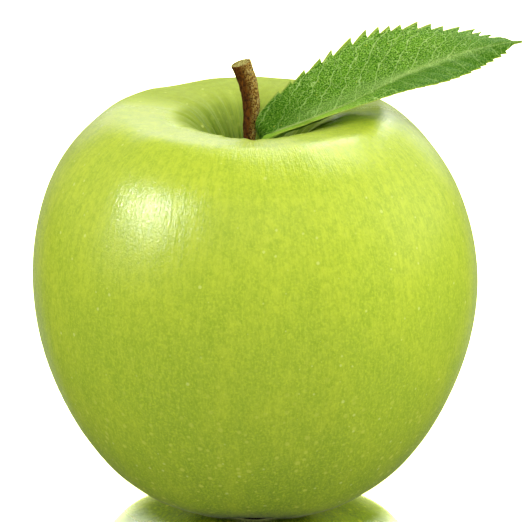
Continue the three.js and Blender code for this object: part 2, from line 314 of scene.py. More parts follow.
def centripetal(knots, per_span):
    """The curve through the knots that the CAD model uses, with per_span points in each span."""
    knots = np.asarray(knots, float)
    ends = np.vstack([2 * knots[0] - knots[1], knots, 2 * knots[-1] - knots[-2]])
    share = np.linspace(0, 1, per_span, endpoint=False)[:, None]
    pieces = []
    for before, here, after, beyond in zip(ends, ends[1:], ends[2:], ends[3:]):
        gaps = [np.sqrt(np.linalg.norm(b - a)) for a, b in ((before, here), (here, after), (after, beyond))]
        leave = (here - before) / gaps[0] - (after - before) / (gaps[0] + gaps[1])
        leave = (leave + (after - here) / gaps[1]) * gaps[1]
        arrive = (after - here) / gaps[1] - (beyond - here) / (gaps[1] + gaps[2])
        arrive = (arrive + (beyond - after) / gaps[2]) * gaps[1]
        pieces.append(hermite(here, after, leave, arrive, share))
    return np.vstack([*pieces, knots[-1:]])


class Line:
    """A curve through knots, read by the share of its length."""

    def __init__(self, knots):
        self.points = centripetal(knots, 200)
        self.lengths = lengths_along(self.points)
        self.length = self.lengths[-1]

    def at(self, share):
        wanted = np.clip(share, 0, 1) * self.length
        return np.stack([np.interp(wanted, self.lengths, axis) for axis in self.points.T], axis=-1)

    def tangent(self, share):
        step = 1e-3
        return unit(self.at(np.minimum(share + step, 1)) - self.at(np.maximum(share - step, 0)))


def unit(vectors):
    return vectors / np.maximum(np.linalg.norm(vectors, axis=-1, keepdims=True), 1e-12)


def lengths_along(points):
    """The length of a curve up to each of its points."""
    return np.concatenate([[0], np.cumsum(np.linalg.norm(np.diff(points, axis=0), axis=1))])


def turns(count):
    """Angles all the way round, evenly spaced."""
    return np.linspace(0, 2 * math.pi, count, endpoint=False)


def grid_faces(rows, columns, closed, start=0, flipped=False):
    """Quads of a grid of points. A closed one joins its last column to its first."""
    row, column = np.meshgrid(np.arange(rows - 1), np.arange(columns - (not closed)), indexing="ij")
    after = (column + 1) % columns
    quads = np.stack([row * columns + column, row * columns + after,
                      (row + 1) * columns + after, (row + 1) * columns + column], axis=-1).reshape(-1, 4)
    quads = quads[:, ::-1] if flipped else quads
    return (quads + start).tolist()


def grid_normals(points, closed):
    """Unit normals of a grid of points, rows first."""
    along = np.gradient(points, axis=0)
    if closed:
        across = np.roll(points, -1, axis=1) - np.roll(points, 1, axis=1)
    else:
        across = np.gradient(points, axis=1)
    return unit(np.cross(across, along))


def add_object(name, data):
    added = bpy.data.objects.new(name, data)
    bpy.context.scene.collection.objects.link(added)
    return added


def make_piece(name, points, faces, material):
    """A smooth-shaded object from points in millimetres round the apple's axis."""
    mesh = bpy.data.meshes.new(name)
    placed = np.asarray(points, float) * MM + np.array([AXIS_X, 0, 0])
    mesh.from_pydata(placed.tolist(), [], faces)
    mesh.shade_smooth()
    mesh.materials.append(material)
    piece = add_object(name, mesh)
    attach(piece, "root")
    return piece


def add_attribute(piece, name, values):
    """Stores one number, or one vector, for each point of a piece, for its material to read."""
    values = np.asarray(values, np.float32)
    kind, field = ("FLOAT_VECTOR", "vector") if values.ndim == 2 else ("FLOAT", "value")
    piece.data.attributes.new(name, kind, "POINT").data.foreach_set(field, values.ravel())


# ---- Building node materials ----

class Shader:
    """The nodes of a material or world, added by short calls. An input is a value or a node's output."""

    def __init__(self, owner):
        self.owner = owner
        owner.use_nodes = True
        self.nodes = owner.node_tree.nodes
        self.links = owner.node_tree.links
        self.nodes.clear()

    def set(self, socket, value):
        if isinstance(value, bpy.types.NodeSocket):
            self.links.new(value, socket)
        else:
            socket.default_value = (*value, 1) if socket.type == "RGBA" else value

    def add(self, kind, inputs=None, **settings):
        node = self.nodes.new("ShaderNode" + kind)
        for name, value in settings.items():
            setattr(node, name, value)
        for name, value in (inputs or {}).items():
            self.set(node.inputs[name], value)
        return node

    def attribute(self, name, output="Fac"):
        return self.add("Attribute", attribute_name=name).outputs[output]

    def math(self, operation, *values):
        node = self.add("Math", operation=operation)
        for socket, value in zip(node.inputs, values):
            self.set(socket, value)
        return node.outputs[0]

    def remap(self, value, start, end, low=0.0, high=1.0, ease="SMOOTHSTEP"):
        inputs = {"Value": value, "From Min": start, "From Max": end, "To Min": low, "To Max": high}
        return self.add("MapRange", inputs, interpolation_type=ease).outputs["Result"]

    def times(self, first, second):
        return self.math("MULTIPLY", first, second)

    def mix(self, factor, first, second):
        node = self.add("Mix", data_type="RGBA")
        for index, value in ((0, factor), (6, first), (7, second)):
            self.set(node.inputs[index], value)
        return node.outputs[2]

    def layers(self, base, colors, **shares):
        """Mixes named colours over the base, one after another, each by its own share."""
        for name, share in shares.items():
            base = self.mix(share, base, colors[name])
        return base

    def scaled(self, vector, scale):
        """A vector stretched by one number for each axis."""
        return self.add("Mapping", {"Vector": vector, "Scale": scale}).outputs["Vector"]

    def noise(self, vector, scale=1.0, detail=2.0, roughness=0.5, distortion=0.0):
        inputs = {"Vector": vector, "Scale": scale, "Detail": detail, "Roughness": roughness,
                  "Distortion": distortion}
        return self.add("TexNoise", inputs).outputs["Fac"]

    def object_mm(self):
        """The place on the object, in millimetres."""
        place = self.add("TexCoord").outputs["Object"]
        return self.scaled(place, (1 / MM,) * 3)

    def bump(self, height, strength, distance):
        inputs = {"Height": height, "Strength": strength, "Distance": distance}
        return self.add("Bump", inputs).outputs["Normal"]

    def warped(self, vector, scale, amount):
        """A vector pushed about by noise, so that what is drawn from it wanders."""
        push = self.add("TexNoise", {"Vector": vector, "Scale": scale, "Detail": 2.0}).outputs["Color"]
        push = self.add("VectorMath", {0: push, 1: (0.5, 0.5, 0.5)}, operation="SUBTRACT").outputs[0]
        inputs = {0: push, 1: (amount,) * 3, 2: vector}
        return self.add("VectorMath", inputs, operation="MULTIPLY_ADD").outputs[0]

    def net(self, vector, scale, width):
        """Thin lines round irregular cells."""
        cells = self.add("TexVoronoi", {"Vector": vector, "Scale": scale}, feature="DISTANCE_TO_EDGE")
        return self.remap(cells.outputs["Distance"], 0.0, width, 1.0, 0.0)

    def dots(self, vector, scale, smallest, largest):
        """Scattered round dots of mixed sizes, soft at the edge. Sizes are shares of a cell."""
        cells = self.add("TexVoronoi", {"Vector": vector, "Scale": scale})
        pick = self.add("SeparateColor", {"Color": cells.outputs["Color"]}).outputs["Red"]
        reach = self.remap(pick, 0.35, 1.0, smallest, largest, "LINEAR")
        inside = self.math("DIVIDE", cells.outputs["Distance"], reach)
        return self.remap(inside, 0.45, 1.0, 1.0, 0.0)

    def surface(self, node):
        """Makes a node the material's surface, and gives back the material."""
        self.add("OutputMaterial", {"Surface": node.outputs[0]})
        return self.owner

    def principled(self, **inputs):
        named = {name.replace("_", " "): value for name, value in inputs.items()}
        return self.surface(self.add("BsdfPrincipled", named))


# ---- Materials ----

# Colours are linear red, green and blue. Each is mixed over the ones before it.
SKIN = {
    # The foot is greener than the flank and crown, and painted darker as shade.
    "foot": (0.22, 0.36, 0.03), "flank": (0.41, 0.57, 0.041), "crown": (0.56, 0.69, 0.045),
    "patch": (0.66, 0.77, 0.05), "blotch": (0.33, 0.49, 0.026), "streak": (0.34, 0.51, 0.028),
    # The colour for the less waxy back of the crown and the cavity is painted shade.
    "fine": (0.68, 0.8, 0.062), "speck": (0.64, 0.77, 0.05), "dull": (0.34, 0.44, 0.02),
    # The hollows' colour is painted shade.
    "hollow": (0.17, 0.28, 0.01), "few_dots": (0.8, 0.88, 0.2), "many_dots": (0.68, 0.77, 0.085),
    "sheen": (0.8, 0.95, 0.35),
}
BARK = {
    "dark": (0.045, 0.014, 0.002), "brown": (0.24, 0.078, 0.008), "shaded": (0.07, 0.024, 0.002),
    "tan": (0.62, 0.4, 0.09), "pale": (0.62, 0.56, 0.24),
    "cut_dark": (0.22, 0.11, 0.015), "cut_pale": (0.66, 0.64, 0.17),
}
LEAF = {
    "deep": (0.1, 0.29, 0.012), "light": (0.16, 0.39, 0.022), "mottle": (0.065, 0.2, 0.008),
    "grit_dark": (0.03, 0.11, 0.003), "grit_pale": (0.4, 0.66, 0.09),
    # The colours for the leaf's base and near half are painted shade, its sheen is painted, and its near
    # strip is painted light.
    "base_end": (0.04, 0.115, 0.005), "near_half": (0.05, 0.16, 0.006), "sheen": (0.36, 0.56, 0.13),
    "vein": (0.5, 0.72, 0.2), "dots": (0.72, 0.72, 0.1), "near_strip": (0.35, 0.6, 0.045),
    "margin": (0.55, 0.66, 0.1), "rib": (0.58, 0.7, 0.22), "under": (0.3, 0.46, 0.1),
}
SEPAL_DARK = (0.06, 0.03, 0.01)
SEPAL_BROWN = (0.26, 0.17, 0.07)
SHEET_GREEN = (0.03, 0.06, 0.006)
BLACK = (0, 0, 0)
WHITE = (1, 1, 1)


def new_material(name):
    return Shader(bpy.data.materials.new(name))


def skin_material():
    """Waxy green skin with mottling, fine streaks and pale dots, greener low down and painted darker there as
    shade, with painted shade at the back of the crown and in both hollows.
    """
    s = new_material("apple_skin")
    grain = s.attribute("grain", "Vector")
    height = s.attribute("height")
    hollow = s.attribute("hollow")
    dull = s.attribute("dull")
    place = s.object_mm()

    patches = s.noise(s.scaled(grain, (5, 5, 3)), detail=3, distortion=0.3)
    streaks = s.noise(s.scaled(grain, (36, 36, 7)), detail=4, roughness=0.65)
    fine = s.noise(s.scaled(grain, (110, 110, 40)), roughness=0.6)
    specks = s.noise(place, scale=2.4, roughness=0.6)
    blotches = s.noise(place, scale=0.7, detail=3, roughness=0.6)

    base = s.layers(
        SKIN["foot"], SKIN,
        # Greener towards the bottom, and painted darker there as shade.
        flank=s.remap(height, 0.0, 0.4),
        crown=s.remap(height, 0.4, 0.9),
        patch=s.remap(patches, 0.35, 0.7, 0.0, 0.48),
        blotch=s.remap(blotches, 0.37, 0.68, 0.0, 0.5),
        streak=s.remap(streaks, 0.37, 0.68, 0.0, 0.5),
        fine=s.remap(fine, 0.4, 0.75, 0.0, 0.42),
        speck=s.remap(specks, 0.45, 0.7, 0.0, 0.6),
        # Painted shade at the back of the crown and inside the cavity.
        dull=s.times(dull, s.remap(blotches, 0.3, 0.7, 0.95, 0.55)),
        # Painted shade in both hollows, broken by the streaks.
        hollow=s.times(s.remap(hollow, 0.1, 0.9, 0.0, 0.95), s.remap(streaks, 0.36, 0.64, 0.5, 1.05)),
        few_dots=s.times(s.dots(place, 0.45, 0.04, 0.2), 0.55),
        many_dots=s.times(s.dots(place, 0.6, 0.12, 0.42), s.remap(height, 0.6, 0.1, 0.15, 0.9)),
    )
    relief = s.math("ADD", s.times(fine, 0.8), specks)
    relief = s.math("ADD", relief, s.times(streaks, 1.7))
    rough = s.remap(specks, 0.3, 0.7, 0.18, 0.27)
    rough = s.math("ADD", rough, s.times(dull, 0.6))
    return s.principled(
        Base_Color=base, Roughness=rough, IOR=1.4, Normal=s.bump(relief, 0.28, 0.0002),
        Sheen_Weight=0.3, Sheen_Roughness=0.25, Sheen_Tint=SKIN["sheen"],
        Subsurface_Weight=0.12, Subsurface_Radius=(0.9, 1.0, 0.2), Subsurface_Scale=0.003,
    )


def bark_material():
    """Brown bark with painted shade on its left, and on its right flecked with tan and paler, weathering with
    painted light, and a pale mottled cut face.
    """
    s = new_material("stem_bark")
    place = s.object_mm()
    cut = s.attribute("cut")
    weathered = s.attribute("weathered")
    grain = s.noise(s.scaled(place, (3.4, 3.4, 1.3)), detail=5, roughness=0.7)
    flecks = s.noise(place, scale=3.2, detail=3, roughness=0.75)
    # Painted shade darkens the side away from the light; the other side's tan flecks and pale grain are
    # weathering, with painted light.
    base = s.layers(
        BARK["dark"], BARK,
        brown=s.remap(grain, 0.38, 0.64),
        shaded=s.remap(weathered, 0.45, 0.1, 0.0, 0.6),
        tan=s.times(s.remap(flecks, 0.44, 0.58), s.remap(weathered, 0.45, 0.95)),
        pale=s.times(s.remap(grain, 0.54, 0.64), s.remap(weathered, 0.6, 1.0, 0.0, 0.85)),
    )
    face = s.mix(s.remap(flecks, 0.42, 0.6), BARK["cut_dark"], BARK["cut_pale"])
    base = s.mix(cut, base, face)
    normal = s.bump(s.math("ADD", grain, flecks), 0.8, 0.0003)
    return s.principled(Base_Color=base, Roughness=0.8, IOR=1.15, Normal=normal)


def leaf_veins(s, blade, mottle, grit, base_end, near_end):
    """How much of a vein lies at each point: side veins, their branches and a fine net."""
    loose = s.warped(blade, 0.8, 1.6)
    axes = s.add("SeparateXYZ", {0: s.warped(blade, 0.45, 2.2)}).outputs
    out = s.math("ABSOLUTE", axes["Y"])
    bend = s.math("MULTIPLY_ADD", out, VEIN_BEND, VEIN_SLANT)
    place = s.math("SUBTRACT", axes["X"], s.times(out, bend))
    phase = s.math("FRACT", s.math("DIVIDE", place, VEIN_PITCH))
    off = s.times(s.math("ABSOLUTE", s.math("SUBTRACT", phase, 0.5)), VEIN_PITCH)
    side_veins = s.times(s.remap(off, 0.03, 0.18, 1.0, 0.0), s.remap(mottle, 0.33, 0.53, 0.35, 1.0))
    branches = s.times(s.net(loose, 0.5, 0.045), s.remap(mottle, 0.44, 0.6, 0.05, 0.8))
    small = s.times(s.net(loose, 1.3, 0.07), s.remap(grit, 0.45, 0.62, 0.0, 0.6))
    pale = s.math("MAXIMUM", side_veins, s.math("MAXIMUM", branches, small))
    # Veins fade where shade is painted at the base, on the near half and towards the tip.
    pale = s.times(pale, s.remap(base_end, 0.9, 0.4, 0.4, 1.0))
    return s.times(pale, s.remap(near_end, 0.1, 0.9, 1.0, 0.3))


def leaf_material():
    """Green blade, finely mottled, with pale veins, painted shade at its base, on its near half and towards
    its tip, a painted sheen, painted light on the near half near the base, and a paler underside.
    """
    s = new_material("apple_leaf")
    blade = s.attribute("blade", "Vector")
    base_end = s.attribute("base_end")
    near_end = s.attribute("near_end")
    patches = s.noise(blade, scale=0.3, detail=3)
    mottle = s.noise(blade, scale=1.3, detail=3, roughness=0.6)
    grit = s.noise(blade, scale=4.0, roughness=0.6)
    pale = leaf_veins(s, blade, mottle, grit, base_end, near_end)
    base = s.layers(
        LEAF["deep"], LEAF,
        light=s.remap(patches, 0.3, 0.7),
        mottle=s.remap(mottle, 0.5, 0.3, 0.0, 0.5),
        grit_dark=s.remap(grit, 0.49, 0.39),
        grit_pale=s.remap(grit, 0.52, 0.62, 0.0, 0.85),
        # Painted shade at the blade's base.
        base_end=s.times(base_end, 0.6),
        # Painted shade on the near half and towards the tip.
        near_half=s.times(near_end, 0.65),
        # A painted sheen along the midrib.
        sheen=s.times(s.attribute("sheen"), s.remap(grit, 0.4, 0.6, 0.35, 0.85)),
        vein=pale,
        dots=s.times(s.dots(blade, 0.9, 0.02, 0.14), 0.7),
        # Painted light shining through the near half near the base.
        near_strip=s.times(s.attribute("near_strip"), 0.75),
        margin=s.times(s.attribute("margin"), 0.7),
        rib=s.times(s.attribute("rib"), 0.8),
        under=s.times(s.attribute("under"), 0.55),
    )
    relief = s.math("SUBTRACT", s.math("ADD", mottle, s.times(grit, 0.6)), pale)
    return s.principled(
        Base_Color=base, Roughness=0.55, Normal=s.bump(relief, 0.6, 0.00015), IOR=1.16,
        Specular_IOR_Level=0.35,
        Subsurface_Weight=0.1, Subsurface_Radius=(0.5, 1.0, 0.1), Subsurface_Scale=0.001,
    )


def calyx_material():
    """Dry brown sepals, streaked along their length."""
    s = new_material("dried_calyx")
    fibres = s.noise(s.scaled(s.object_mm(), (4, 4, 1)), detail=4, roughness=0.7)
    base = s.mix(s.remap(fibres, 0.3, 0.7), SEPAL_DARK, SEPAL_BROWN)
    return s.principled(Base_Color=base, Roughness=0.85, Normal=s.bump(fibres, 0.6, 0.0002))


def floor_material():
    """Polished white tabletop with a painted shadow below the apple, that mirrors more the flatter it is
    seen.
    """
    s = new_material("studio_table")
    slant = s.add("LayerWeight", {"Blend": 0.5}).outputs["Facing"]
    place = s.add("SeparateXYZ", {0: s.object_mm()}).outputs
    along = s.math("SUBTRACT", place["X"], AXIS_X / MM + SHADE_SHIFT)
    away = s.math("SQRT", s.math("ADD", s.times(along, along), s.times(place["Y"], place["Y"])))
    # A painted shadow round the apple.
    near = s.remap(away, *SHADE_NEAR, 0.0, SHADE_LEVEL)
    far = s.remap(away, *SHADE_FAR, 0.0, TABLE_WHITE - SHADE_LEVEL)
    matt = s.add("BsdfDiffuse", {"Color": s.mix(s.math("ADD", near, far), BLACK, WHITE)})
    shine = s.mix(s.remap(slant, *FLOOR_SLANT, LEAST_SHINE, 1.0), BLACK, FLOOR_SHINE)
    polish = s.add("BsdfGlossy", {"Color": shine, "Roughness": FLOOR_ROUGHNESS})
    return s.surface(s.add("AddShader", {0: matt.outputs[0], 1: polish.outputs[0]}))


def plain_material(name, kind, **inputs):
    """A material that is one shader node."""
    s = new_material(name)
    return s.surface(s.add(kind, inputs))


# ---- Fruit ----

def skin_section():
    """Radii, heights and lengths along the fruit's half section, evenly spaced."""
    points = centripetal([*CAVITY, *SHOULDER, *FLANK, *FOOT, BASIN_FLOOR], 80)
    lengths = lengths_along(points)
    wanted = np.linspace(0, lengths[-1], SKIN_ROWS)
    radius, height = (np.interp(wanted, lengths, axis) for axis in points.T)
    return radius, height, wanted


def grow_unevenly(points):
    """Five soft lobes below and above, five worn feet, a crown that leans and a rim that tilts."""
    x, y, z = (points[..., axis].copy() for axis in range(3))
    angle = np.arctan2(y, x)
    radius = np.hypot(x, y)

    def fade(heights, *radii):
        share = smooth(*heights, z)
        for span in radii:
            share = share * smooth(*span, radius)
        return share

    lower = fade(LOWER_HEIGHTS, LOWER_RADII)
    foot = fade(FOOT_HEIGHTS, FOOT_RADII)
    crown = fade(CROWN_HEIGHTS, CROWN_INNER, CROWN_OUTER)
    rim = fade(RIM_HEIGHTS, RIM_INNER, RIM_OUTER)
    base_lobe = np.cos(LOBES * (angle - BASE_TURN))
    crown_lobe = np.cos(LOBES * (angle - CROWN_TURN))
    swell = 1 + RIB * base_lobe * lower
    z = np.maximum(z + (BASE_LOBE * (1 - base_lobe) / 2 - FOOT_TRIM) * foot, 0)
    z = z + (CROWN_LOBE * crown_lobe + CROWN_TILT * np.sin(angle)) * crown
    z = z - RIM_TILT * np.cos(angle) * rim
    x = x * swell - LEAN * smooth(0.5, 1, z / HEIGHT)
    return np.stack([x, y * swell, z], axis=-1)


def waves(counts, depth, angle, length, drift, rng):
    """Unevenness round the fruit that wanders slowly along its section."""
    total = np.zeros(np.broadcast(angle, length).shape)
    for count in counts:
        turn, speed = rng.uniform(0, 2 * math.pi), rng.uniform(-drift, drift)
        total += np.cos(count * angle + turn + speed * length) / count
    return depth * total / total.std()


def skin_points(radius, height, length, angle, rng):
    """The fruit's surface: one row of points for each place along its section."""
    points = np.stack([radius * np.cos(angle), radius * np.sin(angle), height + 0 * angle], axis=-1)
    points = grow_unevenly(points)
    normals = grid_normals(points, closed=True)
    inside = (height > HEIGHT / 2) * smooth(*FURROW_INNER, radius) * smooth(*FURROW_OUTER, radius)
    furrows = waves(FURROW_COUNTS, FURROW_DEPTH, angle, length, FURROW_DRIFT, rng)
    slow = waves(WAVE_COUNTS, WAVE_DEPTH, angle, length, WAVE_DRIFT, rng)
    flank = smooth(*WAVE_RADII, radius) * smooth(*WAVE_HEIGHTS, height)
    points = points + normals * (furrows * inside + slow * flank)[..., None]
    points[..., 2] = np.maximum(points[..., 2], 0)
    return points


def skin_faces(count):
    """Quads of the surface, and a fan over the floor of each hollow."""
    faces = grid_faces(SKIN_ROWS, SKIN_SEGMENTS, closed=True, flipped=True)
    ring = [(corner, (corner + 1) % SKIN_SEGMENTS) for corner in range(SKIN_SEGMENTS)]
    last = count - SKIN_SEGMENTS
    faces += [[corner, after, count] for corner, after in ring]
    faces += [[last + corner, count + 1, last + after] for corner, after in ring]
    return faces


def mark_skin(piece, radius, height, length, angle):
    """Stores the grain's own axes, the height, how far each point is in a hollow, which is painted shade, and
    how far it is less waxy and painted darker as shade.
    """
    upper, flat = height > HEIGHT / 2, 0 * angle
    grain = np.broadcast_arrays(np.cos(angle), np.sin(angle), length / GRAIN_LENGTH)
    ends = np.array([[0, 0, 0], [0, 0, length[-1, 0] / GRAIN_LENGTH]])
    add_attribute(piece, "grain", np.vstack([np.stack(grain, axis=-1).reshape(-1, 3), ends]))
    add_attribute(piece, "height", np.append((height / HEIGHT + flat).ravel(), [CAVITY_FLOOR / HEIGHT, 0]))
    # Less waxy, and painted darker as shade, at the back of the crown and inside the cavity.
    dull = smooth(*DULL_OUTER, radius) * smooth(*DULL_SIDE, np.sin(angle))
    dull = np.maximum(dull, smooth(*DULL_INNER, radius)) * upper
    add_attribute(piece, "dull", np.append(dull.ravel(), [1, 0]))
    # Painted shade in both hollows.
    deep = upper * smooth(*CAVITY_DARK, radius) + ~upper * smooth(*BASIN_DARK, radius)
    add_attribute(piece, "hollow", np.append((deep + flat).ravel(), [1, 1]))


def make_skin():
    rng = np.random.default_rng(SEED)
    radius, height, length = (values[:, None] for values in skin_section())
    angle = turns(SKIN_SEGMENTS)
    points = skin_points(radius, height, length, angle, rng)
    floors = np.array([[points[0, :, 0].mean(), 0, CAVITY_FLOOR], [0, 0, BASIN_FLOOR[1]]])
    vertices = np.vstack([points.reshape(-1, 3), floors])
    piece = make_piece("skin", vertices, skin_faces(points[..., 0].size), skin_material())
    mark_skin(piece, radius, height, length, angle)
    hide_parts("fruit")


# ---- Stem ----

def rough(points, scale, seed):
    """Fractal noise at each point, about -1 to 1."""
    moved = Vector((seed * 17.0, seed * 5.0, seed * 9.0))
    return np.array([noise.fractal(Vector(point) * scale + moved, 1.0, 2.0, 4) for point in points])


def stem_points(angle):
    """Rows of points up the bark and over the cut face, a little below its rim, and the middles of both
    ends."""
    axis = Line(STEM_AXIS)
    share = np.linspace(0, 1, STEM_ROWS)[:, None]
    centre, along = axis.at(share[:, 0]), axis.tangent(share[:, 0])
    side = unit(np.cross([0, 1, 0], along))
    back = np.cross(along, side)
    around = np.cos(angle)[..., None] * side[:, None, :] + np.sin(angle)[..., None] * back[:, None, :]
    radius = between(STEM_RADII, share)
    flat = (centre[:, None, :] + around * radius[..., None]).reshape(-1, 3)
    ridges = rough(flat * np.array([1, 1, 0.35]), 1.5, 1) + 0.5 * rough(flat, 3.5, 2)
    ridges = BARK_DEPTH * ridges.reshape(STEM_ROWS, STEM_SIDES)
    points = centre[:, None, :] + around * (radius + ridges - BARK_DEPTH)[..., None]
    rings = []
    for ring, drop in CUT_RINGS:
        spread = around[-1] * (radius[-1] * ring + ridges[-1] * ring)[..., None]
        rings.append(centre[-1] + spread - along[-1] * (CUT_RIM * drop))
    ends = [centre[:1], centre[-1:] - along[-1:] * CUT_RIM]
    return np.concatenate([points, np.stack(rings)]), ends


def make_stem():
    angle = turns(STEM_SIDES)
    grid, ends = stem_points(angle)
    rows = grid.shape[0]
    faces = grid_faces(rows, STEM_SIDES, closed=True)
    count = rows * STEM_SIDES
    last = count - STEM_SIDES
    for corner in range(STEM_SIDES):
        after = (corner + 1) % STEM_SIDES
        faces += [[after, corner, count], [last + corner, last + after, count + 1]]
    piece = make_piece("stem_wood", np.vstack([grid.reshape(-1, 3), *ends]), faces, bark_material())
    cut = np.zeros((rows, STEM_SIDES))
    cut[-CUT_ROWS:] = 1
    add_attribute(piece, "cut", np.append(cut.ravel(), [0, 1]))
    # The lit side of the stem, for its painted light and shade and its weathering.
    sunny = (1 + np.cos(angle - WEATHERED_TURN)) / 2 + np.zeros((rows, 1))
    add_attribute(piece, "weathered", np.append(sunny.ravel(), [0.5, 0.5]))
    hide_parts("stem")


# ---- Leaf ----

def blade_half_width(share, taper):
    inner = np.clip(np.sin(math.pi * share ** BLADE_WIDEST), 0, 1)
    wide = BLADE_HALF_WIDTH * inner ** (BASE_ROUNDNESS + taper * share)
    wide = wide * blend(1, TAIL_WIDTH, smooth(*TAIL_FROM, share))
    stalk = STALK_HALF_WIDTH * smooth(*STALK_ENDS, share)
    return np.maximum(np.maximum(wide, stalk), TIP_HALF_WIDTH)


def tooth_depth(start, length):
    """How far a tooth of this length, in percent, stands out."""
    depth = TOOTH_DEPTH * min(max(length / USUAL_TOOTH, SMALL_TOOTH), LARGE_TOOTH)
    depth *= blend(BASE_TOOTH, 1, smooth(0, 0.45, start))
    return depth * blend(1, TIP_TOOTH, smooth(0.68, 0.9, start))


def leaf_rows():
    """For each row: its share of the midrib, and in columns, its share of the blade and how far its margin
    stands out."""
    along = [STALK_SHARE * row / STALK_ROWS for row in range(STALK_ROWS)]
    share, tooth = [0.0] * STALK_ROWS, [0.0] * STALK_ROWS

    def add(place, depth=0.0):
        along.append(STALK_SHARE + (1 - STALK_SHARE) * place)
        share.append(place)
        tooth.append(depth)

    for place in BASE_ROWS:
        add(place)
    start = TEETH_FROM / 100
    for length in TOOTH_LENGTHS:
        depth = tooth_depth(start, length)
        for phase in TOOTH_PHASES:
            rise = (phase / TOOTH_PEAK) ** 1.25 if phase <= TOOTH_PEAK else (1 - phase) / (1 - TOOTH_PEAK)
            add(start + length / 100 * phase, depth * rise)
        start += length / 100
    for place in np.linspace(start, 1, TAIL_ROWS):
        add(place)
    return np.array(along), np.array(share)[:, None], np.array(tooth)[:, None]


def walk_section(distance, far_rise, near_rise, reach):
    """The folded section of the rows, walked from the midrib to each signed distance in short steps."""
    pace = distance / SECTION_STEPS
    offset = pace[..., None] * (np.arange(SECTION_STEPS) + 0.5)
    folded = smooth(-FOLD_HALF_WIDTH, FOLD_HALF_WIDTH, offset)
    curl = MARGIN_CURL * (offset / reach[..., None]) ** 2 * np.sign(offset)
    slope = np.radians(blend(-near_rise[..., None], far_rise[..., None], folded) + curl)
    return (np.cos(slope) * pace[..., None]).sum(-1), (np.sin(slope) * pace[..., None]).sum(-1)


def vein_pattern(distance_along, offset, fade):
    """How much of a side vein lies at each point, and how far the blade bulges between the veins."""
    out = np.abs(offset)
    place = distance_along - VEIN_SLANT * out - VEIN_BEND * out ** 2
    phase = np.mod(place / VEIN_PITCH + 0.5, 1)
    nearest = np.minimum(phase, 1 - phase) * VEIN_PITCH
    return np.exp(-(nearest / VEIN_WIDTH) ** 2) * fade, np.sin(math.pi * phase) * fade


def leaf_middle(midrib, along, share, tooth, cross, side):
    """The middle surface, and each point's signed distance from the midrib."""
    reach = np.where(side > 0, blade_half_width(share, FAR_TAPER), blade_half_width(share, NEAR_TAPER))
    margin_in = np.clip((cross - 0.8) / 0.2, 0, 1) ** 2
    depth = tooth * np.where(side > 0, 1, NEAR_TOOTH) * margin_in
    distance = side * (cross * reach + depth)
    folding = smooth(0, BLADE_FOLDS, share)
    far_rise, near_rise = (between(rise, share) * folding for rise in (FAR_RISE, NEAR_RISE))
    place_x, place_y = walk_section(distance, far_rise, near_rise, reach)
    lobe = -BASE_LOBE_REACH * smooth(BASE_LOBE_ENDS, 0, share) * cross ** 1.5
    lobe = lobe * np.where(side > 0, 1, NEAR_LOBE)
    forward = lobe + TOOTH_LEAN * np.abs(depth) * (tooth / (tooth.max() + 1e-9))
    centre, tangent = midrib.at(along), midrib.tangent(along)
    aside = unit(np.array([0, 1, 0]) - tangent * tangent[:, 1:2])
    up = np.cross(tangent, aside)
    middle = (
        centre[:, None, :] + aside[:, None, :] * place_x[..., None]
        + up[:, None, :] * place_y[..., None] + tangent[:, None, :] * forward[..., None]
    )
    return middle, distance


def leaf_sides(middle, distance, on_blade, share, cross):
    """The upper and the lower surface, round on the stalk, and thin and quilted on the blade."""
    normal = -grid_normals(middle, closed=False)
    opening = smooth(0, BLADE_OPENS, share)
    fade = opening * smooth(0, 0.12, cross) * smooth(1, 0.9, share)
    vein, quilt = vein_pattern(on_blade, distance, fade * smooth(1, 0.75, cross) ** 0.5)
    relief = QUILT_HEIGHT * quilt - VEIN_DEPTH * vein
    round_edge = STALK_THICKNESS / 2 * np.sqrt(1 - 0.75 * cross ** 2)
    thin = BLADE_THICKNESS / 2 * np.sqrt(np.clip(1 - cross ** 6, 0.04, 1))
    rib = RIB_DEPTH * (1 - 0.8 * share) * np.exp(-(distance / RIB_HALF_WIDTH) ** 2)
    above = blend(round_edge, thin, opening) + relief * opening
    below = blend(round_edge, thin + rib, opening) - relief * opening
    return middle + normal * above[..., None], middle - normal * below[..., None]


def leaf_faces(rows, columns):
    """Quads of both surfaces and of the edge that joins them all round."""
    count = rows * columns
    faces = grid_faces(rows, columns, closed=False, flipped=True)
    faces += grid_faces(rows, columns, closed=False, start=count)
    left = np.arange(rows - 1) * columns
    foot = np.arange(columns - 1)
    edges = (
        (left, columns, True), (left + columns - 1, columns, False),
        (foot, 1, False), (foot + (rows - 1) * columns, 1, True),
    )
    for edge, step, flipped in edges:
        quads = np.stack([edge, edge + step, edge + step + count, edge + count], axis=1)
        faces += (quads[:, ::-1] if flipped else quads).tolist()
    return faces


